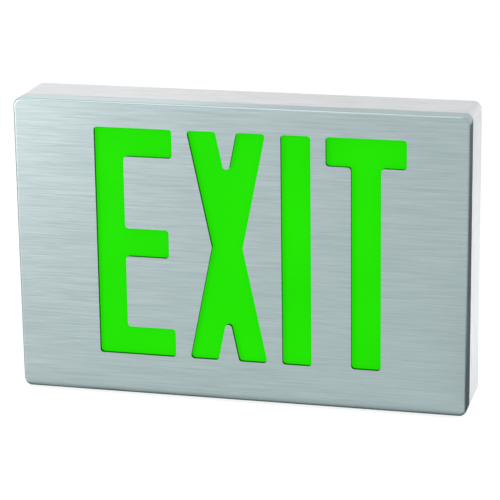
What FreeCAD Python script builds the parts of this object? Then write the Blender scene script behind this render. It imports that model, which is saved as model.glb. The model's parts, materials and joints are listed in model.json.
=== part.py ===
import FreeCAD, Part
import math
import os

# Emergency exit light, wall mounted, in millimetres.
# The origin is the centre of the wall side. +X is to the right of someone who faces the
# sign, +Y points into the wall and +Z points up, so the lit face looks along -Y.

# ---- the whole sign -------------------------------------------------------------------
SIGN_W = 297.5
SIGN_H = 196.0
SIGN_DEPTH = 46.5
OUTLINE_R = 5.5
INNER_R = 0.8

# ---- the word cut through the face ----------------------------------------------------
LETTER_H = 152.4
LETTER_W = 51.8
STEM = 19.4
BAR = 19.05
LETTER_GAP = 9.7
E_MIDDLE_BAR = 48.5
X_FOOT = 19.0
X_WAIST = 20.4
LETTER_R = 2.3
WORD_RIGHT = 7.3
WORD_UP = 5.25

# ---- cast face pan --------------------------------------------------------------------
FACE_T = 2.6
FACE_EDGE_R = 1.6
SKIRT_T = 2.0
SKIRT_DEPTH = 11.5
SKIRT_REAR_R = 0.5

# ---- panels behind the face -----------------------------------------------------------
PANEL_SIDE_MARGIN = 14.0
PANEL_LIP_CLEAR = 0.6
PANEL_R = 3.0
PANEL_SEAT = 0.1
COLOUR_T = 1.0
DIFFUSER_T = 1.5
FENCE_CLEAR = 0.4
FENCE_T = 1.5
FENCE_H = 2.5
POST_R = 1.5
POST_HOLE_CLEAR = 0.25
POST_PROUD = 2.0
POST_EDGE = 6.0
POST_SPREAD = 0.72
NUT_R = 3.6
NUT_T = 0.5
NUT_CONE_R = 2.4
NUT_CONE_H = 0.6

# ---- cast housing ring ----------------------------------------------------------------
SEAM = 0.5
SHOULDER_R = 2.0
WALL_T = 2.6
RIM_T = 3.0
LIP_CLEAR = 0.4
LIP_T = 1.8
LIP_LENGTH = 6.5
RIB_T = 1.6
RIB_H = 1.6
RIB_PITCH = 48.0
RIB_CLEAR = 0.8
CORNER_BOSS_IN = 10.5
CORNER_BOSS_R = 4.5
CORNER_BOSS_L = 12.0
TRAY_BOSS_IN = 11.0
TRAY_BOSS_R = 3.6
TRAY_BOSS_Z = 56.0
PILOT_R = 1.45
PILOT_L = 9.0

# ---- back plate -----------------------------------------------------------------------
BACK_T = 2.2
BACK_CLEAR = 0.3
BOX_SCREW_Z = 83.3
BOX_SCREW_X = 88.9
BOX_SLOT_R = 2.4
BOX_SLOT_L = 12.0
KEYHOLE_X = 190.0
KEYHOLE_UP = 58.0
KEYHOLE_HEAD_R = 4.6
KEYHOLE_NECK_R = 2.3
KEYHOLE_DROP = 9.0
ENTRY_R = 11.1
KNOCKOUT_R = 11.1
KNOCKOUT_SPREAD = 120.0
KNOCKOUT_GROOVE = 1.0
KNOCKOUT_WEB = 0.7
STIFF_RIB_H = 1.4
STIFF_RIB_T = 3.0
STIFF_RIB_R = 1.2
STIFF_RIB_SPAN = 0.72

# ---- lead entry bushing ---------------------------------------------------------------
BUSHING_BORE_R = 8.0
BUSHING_FLANGE_R = 14.0
BUSHING_FLANGE_T = 1.8
BUSHING_CLEAR = 0.1
BUSHING_COLLAR = 5.0
BUSHING_WALL = 1.2
BUSHING_EDGE = 0.5

# ---- reflector tray -------------------------------------------------------------------
TRAY_DEPTH = 20.0
TRAY_T = 1.0
TRAY_BEND_R = 1.5
TRAY_SIDE_CLEAR = 1.6
TRAY_FLANGE = 11.0
TRAY_NOTCH = 8.0
TRAY_HOLE_R = 1.9

# ---- lamp strips ----------------------------------------------------------------------
STRIP_L = 236.0
STRIP_W = 8.0
STRIP_T = 1.6
LAMP_COUNT = 10
LAMP_PITCH = 23.0
LAMP_L = 3.5
LAMP_W = 2.8
LAMP_T = 1.4
LAMP_LENS_R = 1.1
LAMP_LENS_T = 0.3
STRIP_RIVET_X = 226.0

# ---- driver board ---------------------------------------------------------------------
BOARD_W = 78.0
BOARD_H = 104.0
BOARD_T = 1.6
BOARD_FROM_SIDE = 59.75
BOARD_Z = 0.0
BOARD_R = 2.0
BOARD_HOLE_IN = 5.0
BOARD_MARGIN = 8.0
PART_GAP = 5.0
SPACER_L = 4.0
SPACER_R = 3.0
BOARD_SCREW_R = 1.5

CORE_W = 34.0
CORE_H = 28.0
CORE_T = 11.0
CORE_LIMB = 6.0
CORE_MIDDLE_LIMB = 9.6
CORE_R = 0.6
WINDING_PROUD = 3.0
WINDING_CLEAR = 0.2
WINDING_R = 1.6
BOBBIN_INSET = 1.0
CAPACITOR_R = 5.0
CAPACITOR_L = 12.5
CAN_GROOVE_UP = 2.0
CAN_GROOVE = 0.4
CAN_EDGE = 0.5
CAN_RIM = 1.2
CAN_TOP_DIP = 0.3
CAPACITOR_COUNT = 2
CAPACITOR_GAP = 2.0
RELAY_W = 19.0
RELAY_H = 15.5
RELAY_T = 13.5
RELAY_R = 0.8
RELAY_EDGE = 0.5
TERMINAL_PITCH = 5.0
TERMINAL_COUNT = 4
TERMINAL_H = 9.0
TERMINAL_T = 10.0
TERMINAL_FROM_EDGE = 6.0
TERMINAL_R = 0.3
MOUTH_W = 3.0
MOUTH_T = 4.0
MOUTH_UP = 1.5
MOUTH_DEPTH = 5.0
CLAMP_R = 1.9
CLAMP_T = 2.0
CLAMP_WELL = 3.0
CLAMP_SLOT_W = 0.8
CLAMP_SLOT_DEPTH = 0.7
HEADER_W = 7.5
HEADER_H = 5.8
HEADER_T = 7.0
HEADER_WALL = 0.9
HEADER_FLOOR = 1.2
HEADER_R = 0.3
PIN_W = 0.64
PIN_PITCH = 2.5
PIN_L = 4.5
PIN_R = 0.05
HEADER_COUNT = 2
HEADER_PITCH = 14.0
SINK_W = 18.0
SINK_H = 7.0
SINK_T = 14.0
SINK_WEB = 1.6
SINK_FINS = 5
FIN_T = 1.2
REGULATOR_W = 10.0
REGULATOR_T = 4.2
REGULATOR_UP = 3.0
REGULATOR_L = 6.0
TAB_T = 1.2
TAB_L = 4.5
TAB_HOLE_R = 1.6
TAB_HOLE_IN = 2.3
LEG_W = 0.8
LEG_PITCH = 2.54
LEG_IN = 1.8

# ---- battery --------------------------------------------------------------------------
CELL_R = 7.2
CELL_L = 50.5
CELLS = 3
SLEEVE_FOLD = 0.9
SLEEVE_LIP = 0.6
SLEEVE_DIP = 1.3
CELL_NIP_R = 2.4
BATTERY_FROM_SIDE = 60.75
BATTERY_Z = 22.0
BATTERY_SEAT = 0.1
STRAP_W = 16.0
STRAP_T = 1.0
STRAP_FOOT = 11.0
STRAP_CLEAR = 0.15
STRAP_BEND_R = 5.8
STRAP_FOOT_R = 0.5
STRAP_SCREW_PROUD = 2.5

# ---- test button and indicator --------------------------------------------------------
BUTTON_FROM_SIDE = 76.75
BUTTON_DEPTH = 31.0
BUTTON_R = 4.9
BUTTON_CLEAR = 0.1
BUTTON_PROUD = 1.5
BUTTON_TRAVEL = 1.5
BUTTON_DISH = 0.5
BUTTON_DISH_R = 3.9
BUTTON_EDGE = 0.3
BUTTON_FLANGE_R = 6.6
BUTTON_FLANGE_T = 1.4
BUTTON_STEM_R = 1.8
BUTTON_STOP = 0.1
SWITCH_STAND = 12.0
SWITCH_SIZE = 6.0
SWITCH_T = 3.4
PLUNGER_R = 1.7
PLUNGER_L = 1.5
PLUNGER_GAP = 0.15
SPRING_WIRE_R = 0.3
SPRING_WIRE_SIDES = 8
SPRING_R = 5.3
SPRING_TURNS = 4.5
SPRING_SEAT = 0.05
INDICATOR_STEP = 17.0
INDICATOR_R = 2.4
INDICATOR_FLANGE_R = 3.6
INDICATOR_FLANGE_T = 1.0
INDICATOR_PROUD = 0.6
INDICATOR_GAP = 0.2
DOME_R = 0.6
DOME_H = 0.8
LED_R = 1.5
LED_RIM_R = 1.9
LED_RIM_T = 1.0
LED_L = 6.0
LED_DOME_R = 1.1
LED_DOME_T = 0.4
LED_SHOULDER = 1.0
SWITCH_BOARD_T = 1.6
SWITCH_BOARD_D = 15.0
SWITCH_BOSS_R = 2.6
SWITCH_BOSS_STEP = 10.5
SWITCH_BOARD_END = 4.0

# ---- face clips -----------------------------------------------------------------------
CLIP_W = 12.0
CLIP_T = 0.5
CLIP_X = 96.0
CLIP_CREST_GAP = 0.15
CLIP_BACK = 5.5
CLIP_WINDOW_CLEAR = 0.6
CLIP_TIP = 0.3
CLIP_CREST_L = 1.0

# ---- fasteners ------------------------------------------------------------------------
M4_R = 2.0
M4_HOLE_R = 2.25
M3_R = 1.4
HEAD_RATIO = 1.9
HEAD_TOP_RATIO = 0.7
HEAD_T = 1.8
HEAD_RIM_T = 1.0
SCREW_POINT = 0.5
SCREW_SHORT = 0.3
BOARD_SCREW_PROUD = 1.0
RIVET_R = 1.2
RIVET_HEAD_R = 2.2
RIVET_HEAD_T = 0.8
RIVET_TOP_R = 1.3
RIVET_RIM_T = 0.3
RIVET_SHORT = 0.1
SLOT_W = 0.9
SLOT_DEPTH = 0.8
EARTH_X = 46.0
EARTH_Z = -60.0
THROUGH = 1.0

# ---- places worked out from the sizes above -------------------------------------------
FACE_Y = -SIGN_DEPTH
FACE_BACK_Y = FACE_Y + FACE_T
SKIRT_END_Y = FACE_Y + SKIRT_DEPTH
SHOULDER_Y = SKIRT_END_Y + SEAM
LIP_IN = SKIRT_T + LIP_CLEAR
RIM_IN = LIP_IN + LIP_T
LIP_Y = SHOULDER_Y - LIP_LENGTH
RIM_END_Y = SHOULDER_Y + RIM_T
PLATE_Y = -BACK_T
COLOUR_Y = FACE_BACK_Y + PANEL_SEAT
DIFFUSER_Y = COLOUR_Y + COLOUR_T
NUT_Y = DIFFUSER_Y + DIFFUSER_T
POST_END_Y = NUT_Y + POST_PROUD
TRAY_Y = FACE_Y + TRAY_DEPTH
TRAY_BACK_Y = TRAY_Y + TRAY_T
TRAY_HALF_H = SIGN_H / 2 - RIM_IN - TRAY_SIDE_CLEAR
TRAY_HALF_W = SIGN_W / 2 - WALL_T - TRAY_SIDE_CLEAR
TRAY_BOSS_X = SIGN_W / 2 - TRAY_BOSS_IN
CORNER_X = SIGN_W / 2 - CORNER_BOSS_IN
CORNER_Z = SIGN_H / 2 - CORNER_BOSS_IN
CORNER_BOSS_Y = PLATE_Y - CORNER_BOSS_L
BOARD_X = BOARD_FROM_SIDE - SIGN_W / 2
BOARD_Y = TRAY_BACK_Y + SPACER_L
BOARD_LEFT = BOARD_X - BOARD_W / 2 + BOARD_MARGIN
BOARD_RIGHT = BOARD_X + BOARD_W / 2 - BOARD_MARGIN
BOARD_TOP = BOARD_Z + BOARD_H / 2 - BOARD_MARGIN
BOARD_BOTTOM = BOARD_Z - BOARD_H / 2 + BOARD_MARGIN
PARTS_Y = BOARD_Y + BOARD_T
FLOOR_Z = -SIGN_H / 2
FLOOR_IN_Z = FLOOR_Z + WALL_T
BATTERY_X = SIGN_W / 2 - BATTERY_FROM_SIDE
BUTTON_X = SIGN_W / 2 - BUTTON_FROM_SIDE
BUTTON_Y = FACE_Y + BUTTON_DEPTH
SWITCH_BOARD_Z = FLOOR_IN_Z + SWITCH_STAND
INDICATOR_X = BUTTON_X + INDICATOR_STEP
WORD_W = 3 * LETTER_W + STEM + 3 * LETTER_GAP
WORD_LEFT_X = WORD_RIGHT - WORD_W / 2
WORD_BASE_Z = WORD_UP - LETTER_H / 2
PANEL_W = WORD_W + 2 * PANEL_SIDE_MARGIN
PANEL_H = SIGN_H - 2 * (RIM_IN + PANEL_LIP_CLEAR + FENCE_T + FENCE_CLEAR)

ALONG_X = FreeCAD.Vector(1, 0, 0)
ALONG_Y = FreeCAD.Vector(0, 1, 0)
ALONG_Z = FreeCAD.Vector(0, 0, 1)


# ---- helpers --------------------------------------------------------------------------
def vec(x, y, z):
    return FreeCAD.Vector(x, y, z)


def rounded_wire(corners, radii):
    """A closed wire through 3D corners in one plane, each rounded by its own radius."""
    count = len(corners)
    starts, middles, ends = [], [], []
    for i in range(count):
        corner = corners[i]
        to_last = (corners[i - 1] - corner).normalize()
        to_next = (corners[(i + 1) % count] - corner).normalize()
        half = to_last.getAngle(to_next) / 2
        setback = radii[i] / math.tan(half)
        bisector = (to_last + to_next).normalize()
        starts.append(corner + to_last * setback)
        ends.append(corner + to_next * setback)
        middles.append(corner + bisector * (radii[i] / math.sin(half) - radii[i]))
    edges = []
    for i in range(count):
        if radii[i] > 0:
            edges.append(Part.Arc(starts[i], middles[i], ends[i]).toShape())
        following = starts[(i + 1) % count]
        if ends[i].distanceToPoint(following) > 1e-6:
            edges.append(Part.LineSegment(ends[i], following).toShape())
    return Part.Wire(edges)


def front_wire(points, radius, y, right=0.0, up=0.0):
    """A wire that faces the viewer, from (x, z) points with one corner radius."""
    corners = [vec(x + right, y, z + up) for x, z in points]
    return rounded_wire(corners, [radius] * len(corners))


def front_plate(points, radius, y, depth, right=0.0, up=0.0):
    return Part.Face(front_wire(points, radius, y, right, up)).extrude(ALONG_Y * depth)


def rectangle(width, height):
    x, z = width / 2, height / 2
    return [(-x, -z), (x, -z), (x, z), (-x, z)]


def block(width, height, radius, y, depth, right=0.0, up=0.0):
    return front_plate(rectangle(width, height), radius, y, depth, right, up)


def outline_block(inset, y_from, y_to):
    """The sign's outline, drawn in by an inset, as a block between two depths."""
    radius = max(OUTLINE_R - inset, INNER_R)
    return block(SIGN_W - 2 * inset, SIGN_H - 2 * inset, radius, y_from, y_to - y_from)


def rod(radius, length, x, y, z, direction=ALONG_Y):
    return Part.makeCylinder(radius, length, vec(x, y, z), direction)


def drill(radius, thickness, x, y, z, direction=ALONG_Y):
    """A cutter through a wall that starts at the point and passes it on both sides."""
    start = vec(x, y, z) - direction * THROUGH
    return Part.makeCylinder(radius, thickness + 2 * THROUGH, start, direction)


def box(x_from, x_to, y_from, y_to, z_from, z_to):
    sizes = (x_to - x_from, y_to - y_from, z_to - z_from)
    return Part.makeBox(*sizes, vec(x_from, y_from, z_from))


def fuse(shapes):
    return shapes[0].multiFuse(shapes[1:]).removeSplitter()


def slot(length, radius, x, z, upright):
    """A round-ended slot through the back plate, along X, or along Z if it is upright."""
    across, along = (0, length / 2 - radius) if upright else (length / 2 - radius, 0)
    ends = [drill(radius, BACK_T, x + side * across, PLATE_Y, z + side * along)
            for side in (-1, 1)]
    width, height = (2 * radius, 2 * along) if upright else (2 * across, 2 * radius)
    middle = box(x - width / 2, x + width / 2, PLATE_Y - THROUGH, THROUGH, z - height / 2,
                 z + height / 2)
    return fuse(ends + [middle])


def turned(profile, base, axis):
    """Turns an (r, h) profile about an axis through base; h runs along the axis."""
    side = ALONG_X if abs(axis.x) < 0.5 else ALONG_Z
    points = [base + side * r + axis * h for r, h in profile]
    wire = Part.makePolygon(points + [points[0]])
    return Part.Face(wire).revolve(base, axis, 360)


def pan_head_screw(shank_r, length, x, y, z, axis=ALONG_Y):
    """A slotted screw whose head sits before the point and whose shank runs along axis."""
    head_r = shank_r * HEAD_RATIO
    profile = [(0, -HEAD_T), (head_r * HEAD_TOP_RATIO, -HEAD_T), (head_r, -HEAD_RIM_T),
               (head_r, 0), (shank_r, 0), (shank_r, length - SCREW_POINT),
               (shank_r - SCREW_POINT, length), (0, length)]
    screw = turned(profile, vec(x, y, z), axis)
    groove = Part.makeBox(2 * head_r, SLOT_W, SLOT_DEPTH, vec(-head_r, -SLOT_W / 2, -HEAD_T))
    turn = FreeCAD.Rotation(ALONG_Z, axis)
    groove.Placement = FreeCAD.Placement(vec(x, y, z), turn)
    return screw.cut(groove)


def rivet(base, axis, length):
    """A rivet with its low round head before the base and its shank along axis."""
    profile = [(0, -RIVET_HEAD_T), (RIVET_TOP_R, -RIVET_HEAD_T), (RIVET_HEAD_R, -RIVET_RIM_T),
               (RIVET_HEAD_R, 0), (RIVET_R, 0), (RIVET_R, length), (0, length)]
    return turned(profile, base, axis)


def corners_of(x, z):
    return [(sx * x, sz * z) for sx in (-1, 1) for sz in (-1, 1)]


def save(name, shapes):
    """Writes one node: a single solid, or a group of separate like solids."""
    solids = [solid for shape in shapes for solid in shape.Solids]
    shape = solids[0] if len(solids) == 1 else Part.makeCompound(solids)
    shape.exportStep("parts/" + name + ".step")
    print(name, len(solids), "solids", round(sum(s.Volume for s in solids), 1), shape.isValid())


# ---- the word -------------------------------------------------------------------------
def letter_e():
    mid_low, mid_high = (LETTER_H - BAR) / 2, (LETTER_H + BAR) / 2
    return [(0, 0), (LETTER_W, 0), (LETTER_W, BAR), (STEM, BAR), (STEM, mid_low),
            (E_MIDDLE_BAR, mid_low), (E_MIDDLE_BAR, mid_high), (STEM, mid_high),
            (STEM, LETTER_H - BAR), (LETTER_W, LETTER_H - BAR), (LETTER_W, LETTER_H),
            (0, LETTER_H)]


def letter_x():
    middle, top = LETTER_H / 2, LETTER_H
    waist_left, waist_right = (LETTER_W - X_WAIST) / 2, (LETTER_W + X_WAIST) / 2
    lean = waist_left / middle
    crotch = (LETTER_W / 2 - X_FOOT) / lean
    return [(0, 0), (X_FOOT, 0), (LETTER_W / 2, crotch), (LETTER_W - X_FOOT, 0),
            (LETTER_W, 0), (waist_right, middle), (LETTER_W, top),
            (LETTER_W - X_FOOT, top), (LETTER_W / 2, top - crotch), (X_FOOT, top),
            (0, top), (waist_left, middle)]


def letter_i():
    return [(0, 0), (STEM, 0), (STEM, LETTER_H), (0, LETTER_H)]


def letter_t():
    left, right = (LETTER_W - STEM) / 2, (LETTER_W + STEM) / 2
    return [(left, 0), (right, 0), (right, LETTER_H - BAR), (LETTER_W, LETTER_H - BAR),
            (LETTER_W, LETTER_H), (0, LETTER_H), (0, LETTER_H - BAR),
            (left, LETTER_H - BAR)]


def word_cutters():
    """The word as four cutters that pass right through the face."""
    cutters = []
    x = WORD_LEFT_X
    for points, width in ((letter_e(), LETTER_W), (letter_x(), LETTER_W),
                          (letter_i(), STEM), (letter_t(), LETTER_W)):
        cutters.append(front_plate(points, LETTER_R, FACE_Y - THROUGH,
                                   FACE_T + 2 * THROUGH, x, WORD_BASE_Z))
        x += width + LETTER_GAP
    return cutters


# ---- face pan and its panels ----------------------------------------------------------
def post_places():
    """Three posts down each side of the panel, clear of the word between them."""
    x = PANEL_W / 2 - POST_EDGE
    z = PANEL_H / 2 * POST_SPREAD
    return [(WORD_RIGHT + side * x, step * z) for side in (-1, 1) for step in (-1, 0, 1)]


def face_plate():
    pan = outline_block(0, FACE_Y, SKIRT_END_Y)
    front_edges = [e for e in pan.Edges if abs(e.CenterOfMass.y - FACE_Y) < 1e-3]
    pan = pan.makeFillet(FACE_EDGE_R, front_edges)
    rear_edges = [e for e in pan.Edges if abs(e.CenterOfMass.y - SKIRT_END_Y) < 1e-3]
    pan = pan.makeFillet(SKIRT_REAR_R, rear_edges)
    pan = pan.cut(outline_block(SKIRT_T, FACE_BACK_Y, SKIRT_END_Y + THROUGH))
    fence_w, fence_h = PANEL_W + 2 * FENCE_CLEAR, PANEL_H + 2 * FENCE_CLEAR
    fence = block(fence_w + 2 * FENCE_T, fence_h + 2 * FENCE_T, PANEL_R + FENCE_T,
                  FACE_BACK_Y, FENCE_H, WORD_RIGHT)
    fence = fence.cut(block(fence_w, fence_h, PANEL_R, FACE_BACK_Y, FENCE_H, WORD_RIGHT))
    posts = [rod(POST_R, POST_END_Y - FACE_BACK_Y, x, FACE_BACK_Y, z) for x, z in post_places()]
    pan = fuse([pan, fence] + posts)
    return pan.cut(word_cutters())


def panel(y, thickness):
    sheet = block(PANEL_W, PANEL_H, PANEL_R, y, thickness, WORD_RIGHT)
    holes = [drill(POST_R + POST_HOLE_CLEAR, thickness, x, y, z) for x, z in post_places()]
    return sheet.cut(holes)


def push_nuts():
    """Spring washers whose raised middles grip the posts."""
    profile = [(POST_R, NUT_T), (POST_R, NUT_T + NUT_CONE_H), (NUT_CONE_R, NUT_T),
               (NUT_R, NUT_T), (NUT_R, 0), (NUT_CONE_R, 0)]
    return [turned(profile, vec(x, NUT_Y, z), ALONG_Y) for x, z in post_places()]


# ---- cast housing ring ----------------------------------------------------------------
def clip_places():
    """Centre of each clip window on the lip: two along the top and two along the bottom."""
    return corners_of(CLIP_X, SIGN_H / 2 - LIP_IN)


def switch_boss_places():
    return [BUTTON_X - SWITCH_BOSS_STEP, INDICATOR_X + SWITCH_BOSS_STEP]


def housing_frame():
    wall = outline_block(0, SHOULDER_Y, 0)
    front_edges = [e for e in wall.Edges if abs(e.CenterOfMass.y - SHOULDER_Y) < 1e-3]
    wall = wall.makeFillet(SHOULDER_R, front_edges)
    wall = wall.cut(outline_block(WALL_T, RIM_END_Y, THROUGH))
    lip = outline_block(LIP_IN, LIP_Y, SHOULDER_Y + RIM_T / 2)
    wall = wall.fuse(lip).cut(outline_block(RIM_IN, LIP_Y - THROUGH, RIM_END_Y + THROUGH))

    added = []
    for x, z in corners_of(CORNER_X, CORNER_Z):
        added.append(rod(CORNER_BOSS_R, CORNER_BOSS_L, x, CORNER_BOSS_Y, z))
        to_x = math.copysign(SIGN_W / 2, x)
        to_z = math.copysign(SIGN_H / 2, z)
        added.append(box(min(x, to_x), max(x, to_x), CORNER_BOSS_Y, PLATE_Y,
                         min(z, to_z), max(z, to_z)))
    for x, z in corners_of(TRAY_BOSS_X, TRAY_BOSS_Z):
        added.append(rod(TRAY_BOSS_R, PLATE_Y - BACK_CLEAR - TRAY_BACK_Y, x, TRAY_BACK_Y, z))
        to_x = math.copysign(SIGN_W / 2, x)
        added.append(box(min(x, to_x), max(x, to_x), TRAY_BACK_Y, PLATE_Y - BACK_CLEAR,
                         z - RIB_T / 2, z + RIB_T / 2))
    rib_count = int((CORNER_X - CORNER_BOSS_R) / RIB_PITCH)
    for side in (-1, 1):
        from_z = side * (SIGN_H / 2 - WALL_T - RIB_H)
        to_z = side * SIGN_H / 2
        for step in range(-rib_count, rib_count + 1):
            x = step * RIB_PITCH
            added.append(box(x - RIB_T / 2, x + RIB_T / 2, RIM_END_Y - RIM_T / 2,
                             PLATE_Y - BACK_CLEAR, min(from_z, to_z), max(from_z, to_z)))
    for x in switch_boss_places():
        added.append(rod(SWITCH_BOSS_R, SWITCH_STAND + WALL_T / 2, x, BUTTON_Y,
                         FLOOR_IN_Z - WALL_T / 2, ALONG_Z))
    inner = outline_block(WALL_T / 2, RIM_END_Y - RIM_T / 2, 0)
    added = [shape.common(inner) for shape in added]
    ring = fuse([wall] + added)

    cutters = [drill(M4_HOLE_R, CORNER_BOSS_L, x, CORNER_BOSS_Y, z)
               for x, z in corners_of(CORNER_X, CORNER_Z)]
    cutters += [rod(PILOT_R, PILOT_L, x, TRAY_BACK_Y, z)
                for x, z in corners_of(TRAY_BOSS_X, TRAY_BOSS_Z)]
    cutters += [rod(PILOT_R, PILOT_L, x, BUTTON_Y, SWITCH_BOARD_Z - PILOT_L, ALONG_Z)
                for x in switch_boss_places()]
    cutters.append(drill(BUTTON_R + BUTTON_CLEAR, WALL_T, BUTTON_X, BUTTON_Y, FLOOR_Z, ALONG_Z))
    cutters.append(drill(INDICATOR_R, WALL_T, INDICATOR_X, BUTTON_Y, FLOOR_Z, ALONG_Z))
    for flange_r, x in ((BUTTON_FLANGE_R, BUTTON_X), (INDICATOR_FLANGE_R, INDICATOR_X)):
        cutters.append(rod(flange_r + RIB_CLEAR, SWITCH_STAND, x, BUTTON_Y, FLOOR_IN_Z, ALONG_Z))
    half_window = CLIP_W / 2 + CLIP_WINDOW_CLEAR
    for x, z in clip_places():
        inward = math.copysign(LIP_T + THROUGH, -z)
        outward = math.copysign(THROUGH, z)
        low, high = min(z + inward, z + outward), max(z + inward, z + outward)
        cutters.append(box(x - half_window, x + half_window, LIP_Y - THROUGH,
                           LIP_Y + CLIP_BACK + CLIP_WINDOW_CLEAR, low, high))
        cutters.append(rod(RIVET_R, 2 * RIM_IN, x, SHOULDER_Y + RIM_T / 2,
                           z + inward, vec(0, 0, math.copysign(1, z)))
                       .common(outline_block(LIP_IN, LIP_Y, RIM_END_Y)))
    return ring.cut(cutters)


def face_clips():
    """Bent strips inside the rim; each crest looks out through its window in the lip."""
    clips = []
    for x, z in clip_places():
        out = math.copysign(1, z)
        seat = SIGN_H / 2 - RIM_IN
        crest = SIGN_H / 2 - SKIRT_T - CLIP_CREST_GAP
        middle_y = LIP_Y + CLIP_BACK / 2
        half_crest = CLIP_CREST_L / 2
        line = [(RIM_END_Y + CLIP_TIP, seat), (LIP_Y + CLIP_BACK + CLIP_TIP, seat),
                (middle_y + half_crest, crest), (middle_y - half_crest, crest),
                (LIP_Y + CLIP_TIP, seat)]
        under = [(y, height - CLIP_T) for y, height in reversed(line)]
        points = [vec(x - CLIP_W / 2, y, out * height) for y, height in line + under]
        strip = Part.Face(Part.makePolygon(points + [points[0]])).extrude(ALONG_X * CLIP_W)
        hole = drill(RIVET_R, CLIP_T, x, SHOULDER_Y + RIM_T / 2, out * (seat - CLIP_T),
                     ALONG_Z * out)
        clips.append(strip.cut(hole))
    return clips


def clip_rivets():
    rivets = []
    for x, z in clip_places():
        out = math.copysign(1, z)
        base = vec(x, SHOULDER_Y + RIM_T / 2, out * (SIGN_H / 2 - RIM_IN - CLIP_T))
        rivets.append(rivet(base, ALONG_Z * out, CLIP_T + LIP_T - RIVET_SHORT))
    return rivets


# ---- back plate -----------------------------------------------------------------------
def back_plate():
    inset = WALL_T + BACK_CLEAR
    plate = outline_block(inset, PLATE_Y, 0)
    ribs = []
    for side in (-1, 1):
        x = side * (KNOCKOUT_SPREAD / 2 + KNOCKOUT_R + 3 * STIFF_RIB_T)
        ribs.append(block(STIFF_RIB_T, SIGN_H * STIFF_RIB_SPAN, STIFF_RIB_R,
                          PLATE_Y - STIFF_RIB_H, STIFF_RIB_H, x, 0))
    plate = fuse([plate] + ribs)
    cutters = [drill(ENTRY_R, BACK_T, 0, PLATE_Y, 0)]
    for side in (-1, 1):
        cutters.append(slot(BOX_SLOT_L, BOX_SLOT_R, side * BOX_SCREW_X / 2, 0, False))
        cutters.append(slot(BOX_SLOT_L, BOX_SLOT_R, 0, side * BOX_SCREW_Z / 2, True))
        x = side * KEYHOLE_X / 2
        cutters.append(drill(KEYHOLE_NECK_R, BACK_T, x, PLATE_Y, KEYHOLE_UP))
        cutters.append(box(x - KEYHOLE_NECK_R, x + KEYHOLE_NECK_R, PLATE_Y - THROUGH, THROUGH,
                           KEYHOLE_UP - KEYHOLE_DROP, KEYHOLE_UP))
        cutters.append(drill(KEYHOLE_HEAD_R, BACK_T, x, PLATE_Y, KEYHOLE_UP - KEYHOLE_DROP))
    for x, z in corners_of(KNOCKOUT_SPREAD / 2, KNOCKOUT_SPREAD / 4):
        groove = rod(KNOCKOUT_R, BACK_T, x, PLATE_Y + KNOCKOUT_WEB, z)
        cutters.append(groove.cut(rod(KNOCKOUT_R - KNOCKOUT_GROOVE, BACK_T, x,
                                      PLATE_Y + KNOCKOUT_WEB, z)))
    for x, z in corners_of(CORNER_X, CORNER_Z):
        cutters.append(drill(M4_R, BACK_T, x, PLATE_Y, z))
    cutters.append(drill(M4_R, BACK_T, EARTH_X, PLATE_Y, EARTH_Z))
    return plate.cut(cutters)


def back_plate_screws():
    length = CORNER_BOSS_L + BACK_T - SCREW_SHORT
    return [pan_head_screw(M4_R, length, x, CORNER_BOSS_Y, z)
            for x, z in corners_of(CORNER_X, CORNER_Z)]


def earth_screw():
    return pan_head_screw(M4_R, BACK_T - SCREW_SHORT, EARTH_X, PLATE_Y, EARTH_Z)


def entry_bushing():
    """Snap bushing: flange inside the plate, barrel through the entry, flush outside."""
    barrel_r = ENTRY_R - BUSHING_CLEAR
    collar_r = BUSHING_BORE_R + BUSHING_WALL
    profile = [(BUSHING_BORE_R, -BUSHING_COLLAR), (collar_r, -BUSHING_COLLAR),
               (collar_r + BUSHING_EDGE, -BUSHING_FLANGE_T),
               (BUSHING_FLANGE_R - BUSHING_EDGE, -BUSHING_FLANGE_T),
               (BUSHING_FLANGE_R, BUSHING_EDGE - BUSHING_FLANGE_T), (BUSHING_FLANGE_R, 0),
               (barrel_r, 0), (barrel_r, BACK_T - BUSHING_EDGE),
               (barrel_r - BUSHING_EDGE, BACK_T), (BUSHING_BORE_R, BACK_T)]
    return turned(profile, vec(0, PLATE_Y, 0), ALONG_Y)


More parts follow.
